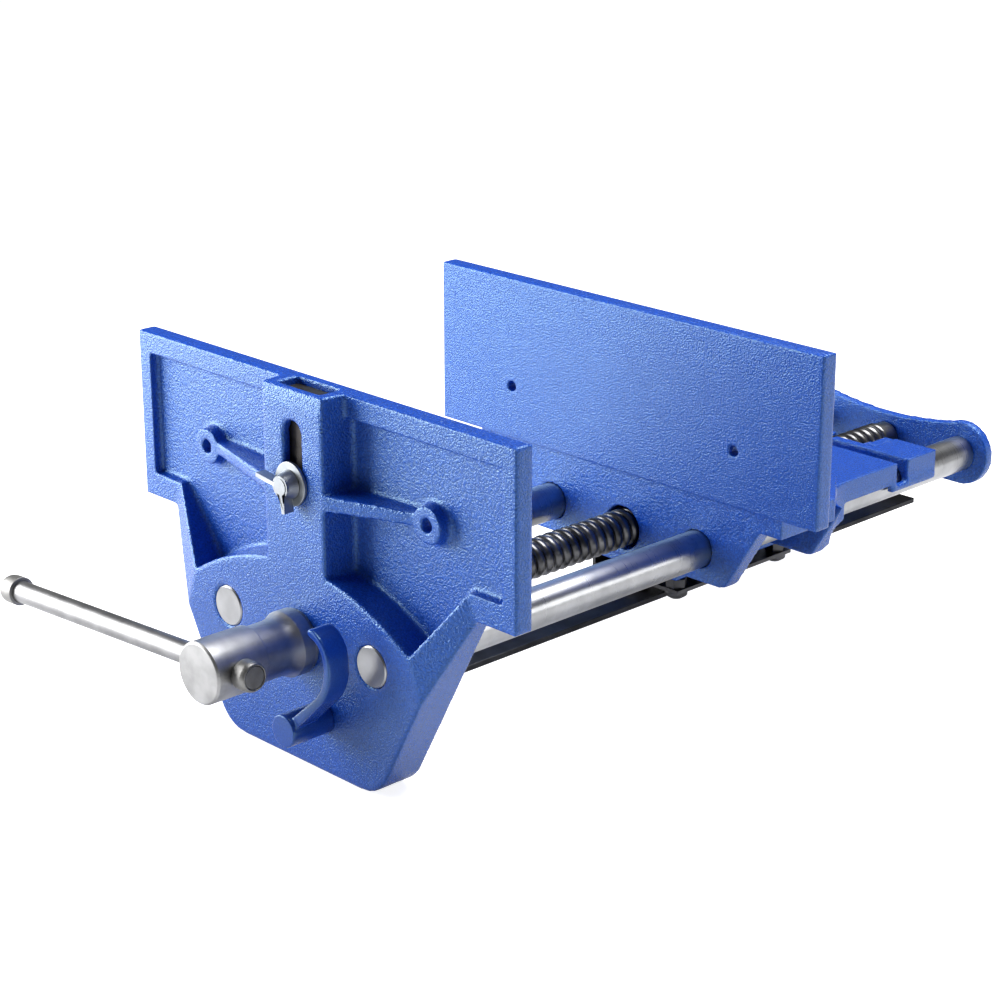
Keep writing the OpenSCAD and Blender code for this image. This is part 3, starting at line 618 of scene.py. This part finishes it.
bored = head.modifiers.new("cross hole", "BOOLEAN")
bored.operation = "DIFFERENCE"
bored.solver = "EXACT"
bored.object = drill
settled(head)
bpy.data.objects.remove(drill)
smooth_by_angle(head, 30)
place_for(head, "screw_head", head_steel)
zinc = steel("zinc_plate", (0.38, 0.405, 0.43), roughness=0.44,
             along="y", marks=300.0, depth=0.000005, stain=0.12)
dark_steel = steel("blackened", (0.085, 0.085, 0.09), roughness=0.38,
                   along="y", marks=500.0, depth=0.00002, stain=0.2)
fine_edge = 0.0002
plain_edge = 0.0004
dress("thrust_washer", fine_edge, zinc)
dress("retaining_collar", plain_edge, dark_steel)
dress("collar_pin", fine_edge, head_steel)
dress("head_pin", fine_edge, dark_steel)

# The handle
#
# A ground rod that slides through the head. A domed cap is pressed on its left
# end, and its right end is riveted over a round button. That end face is painted
# darker, a painted shade that stands for the dark reflection it shows.
handle_steel = steel("handle_rod", (0.33, 0.33, 0.335), roughness=0.42,
                     along="x", marks=2000.0, depth=0.000002, stain=0.1)
small_edge = 0.0003
rod = dress("tommy_bar", small_edge, handle_steel)
# The faces that look right take a darker steel: painted shade standing for the dark reflection
# on the rod's end.
rod.data.materials.append(
    steel("rod_end_painted_shade", (0.17, 0.17, 0.17), roughness=0.50,
          along="x", marks=900.0, depth=0.000004, stain=0.2))
rod_facing_right = 0.95
rod_normals = np.empty(3 * len(rod.data.polygons), np.float32)
rod.data.polygons.foreach_get("normal", rod_normals)
rod.data.polygons.foreach_set(
    "material_index", (rod_normals[0::3] > rod_facing_right).astype(np.int32))
cap_steel = steel("cap_steel", (0.30, 0.297, 0.29), roughness=0.52,
                  along="x", marks=900.0, depth=0.000004, stain=0.15)
dress("knob_left", small_edge, cap_steel, degrees=50)
knob_steel = steel("knob_steel", (0.27, 0.268, 0.262), roughness=0.44,
                   along="x", marks=900.0, depth=0.000004, stain=0.2)
dress("knob_right", fine_edge, knob_steel, degrees=50)

# The rear plate's washers and nuts, and the bars' pins
#
# Zinc-plated M12 nuts and washers hold the plate against the bars' shoulders.
# In the front jaw a black steel pin goes through each bar near its end.
heavy_edge = 0.0005
dress("rear_plate_washers", small_edge, zinc)
dress("rear_plate_nuts", heavy_edge, zinc, degrees=25)
dress("bar_pins", small_edge, dark_steel)

# The release bar and its pin
#
# A flat black steel bar that runs below the screw to the rear plate. Its
# round journal turns in the front jaw and is pinned in the trigger's hub.
black = steel("black_bar", (0.035, 0.036, 0.04), roughness=0.36,
              along="y", marks=60.0, depth=0.00001, stain=0.2)
dress("release_bar", plain_edge, black)
dress("trigger_pin", fine_edge, dark_steel)

# The bench dog with its washer and wing screw
#
# A dark steel bar that slides up in the front jaw's column, held by a
# zinc-plated wing screw through the slot.
dog_steel = steel("dog_bar", (0.07, 0.066, 0.062), roughness=0.50,
                  along="z", marks=900.0, depth=0.00001, stain=0.2)
dress("dog", heavy_edge, dog_steel)
dress("dog_washer", small_edge, zinc)
dress("wing_screw", heavy_edge, zinc, degrees=28)

# The half nut, its springs and the keeper
#
# Under the bench jaw a channel of dark sheet steel keeps the half nut in its
# housing. Two small springs push the nut up into the screw, and are pressed
# together when the trigger lowers it.
nut_iron = steel("nut_iron", (0.16, 0.155, 0.15), roughness=0.45,
                 along="y", marks=400.0, depth=0.00003, stain=0.2)
dress("half_nut", heavy_edge, nut_iron)
keeper = dress("keeper_plate", plain_edge, dark_steel)
keeper_edge_x = 0.0375
keeper_work = bmesh.new()
keeper_work.from_mesh(keeper.data)
bmesh.ops.bisect_plane(
    keeper_work, geom=keeper_work.verts[:] + keeper_work.edges[:] + keeper_work.faces[:],
    plane_co=(keeper_edge_x, 0.0, 0.0), plane_no=(1.0, 0.0, 0.0), clear_outer=True)
bmesh.ops.holes_fill(keeper_work, edges=keeper_work.edges)
bmesh.ops.recalc_face_normals(keeper_work, faces=keeper_work.faces)
keeper_work.to_mesh(keeper.data)
keeper_work.free()
dress("keeper_bolts", plain_edge, dark_steel)
dress("keeper_nuts", small_edge, dark_steel, degrees=25)
spring_wire = steel("spring_wire", (0.45, 0.45, 0.46), roughness=0.3,
                    along="z", marks=400.0, depth=0.00001)
wire_radius = 0.0006
coil_radius = 0.0039
coil_turns = 5
coil_length = 0.0113
wire_sides = 10
wire_rows = 200
keeper_top_z = -0.0595
nut_y = 0.017
spring_off = 0.0135


def coil(centre_x, centre_y, foot_z, columns, rows):
    """A round wire wound in a helix: the path is (R cos t, R sin t, pitch t)
    and the wire's ring stands square to it, in the radial and axial axes."""
    turn = np.linspace(0.0, 2.0 * np.pi * coil_turns, rows)[:, None]
    ring = np.linspace(0.0, 2.0 * np.pi, columns, endpoint=False)[None, :]
    rise = (coil_length - 2.0 * wire_radius) / (2.0 * np.pi * coil_turns)
    reach = coil_radius + wire_radius * np.cos(ring)
    return np.stack([
        centre_x + reach * np.cos(turn),
        centre_y + reach * np.sin(turn),
        foot_z + wire_radius + rise * turn + wire_radius * np.sin(ring) + 0.0 * reach,
    ], axis=-1).reshape(-1, 3), grid_faces(rows, columns)


spring_points, spring_faces = [], []
for side in (-1, 1):
    coil_points, coil_faces = coil(
        0.0, nut_y + side * spring_off, keeper_top_z, wire_sides, wire_rows)
    ends = [list(range(wire_sides)),
            list(range((wire_rows - 1) * wire_sides, wire_rows * wire_sides))]
    start = sum(len(p) for p in spring_points)
    spring_faces += [[corner + start for corner in face] for face in coil_faces + ends]
    spring_points.append(coil_points)
springs = add_turned("half_nut_springs_wound", np.concatenate(spring_points), spring_faces,
                     "bench_jaw", spring_wire, ["half_nut_springs"])
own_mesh(springs)
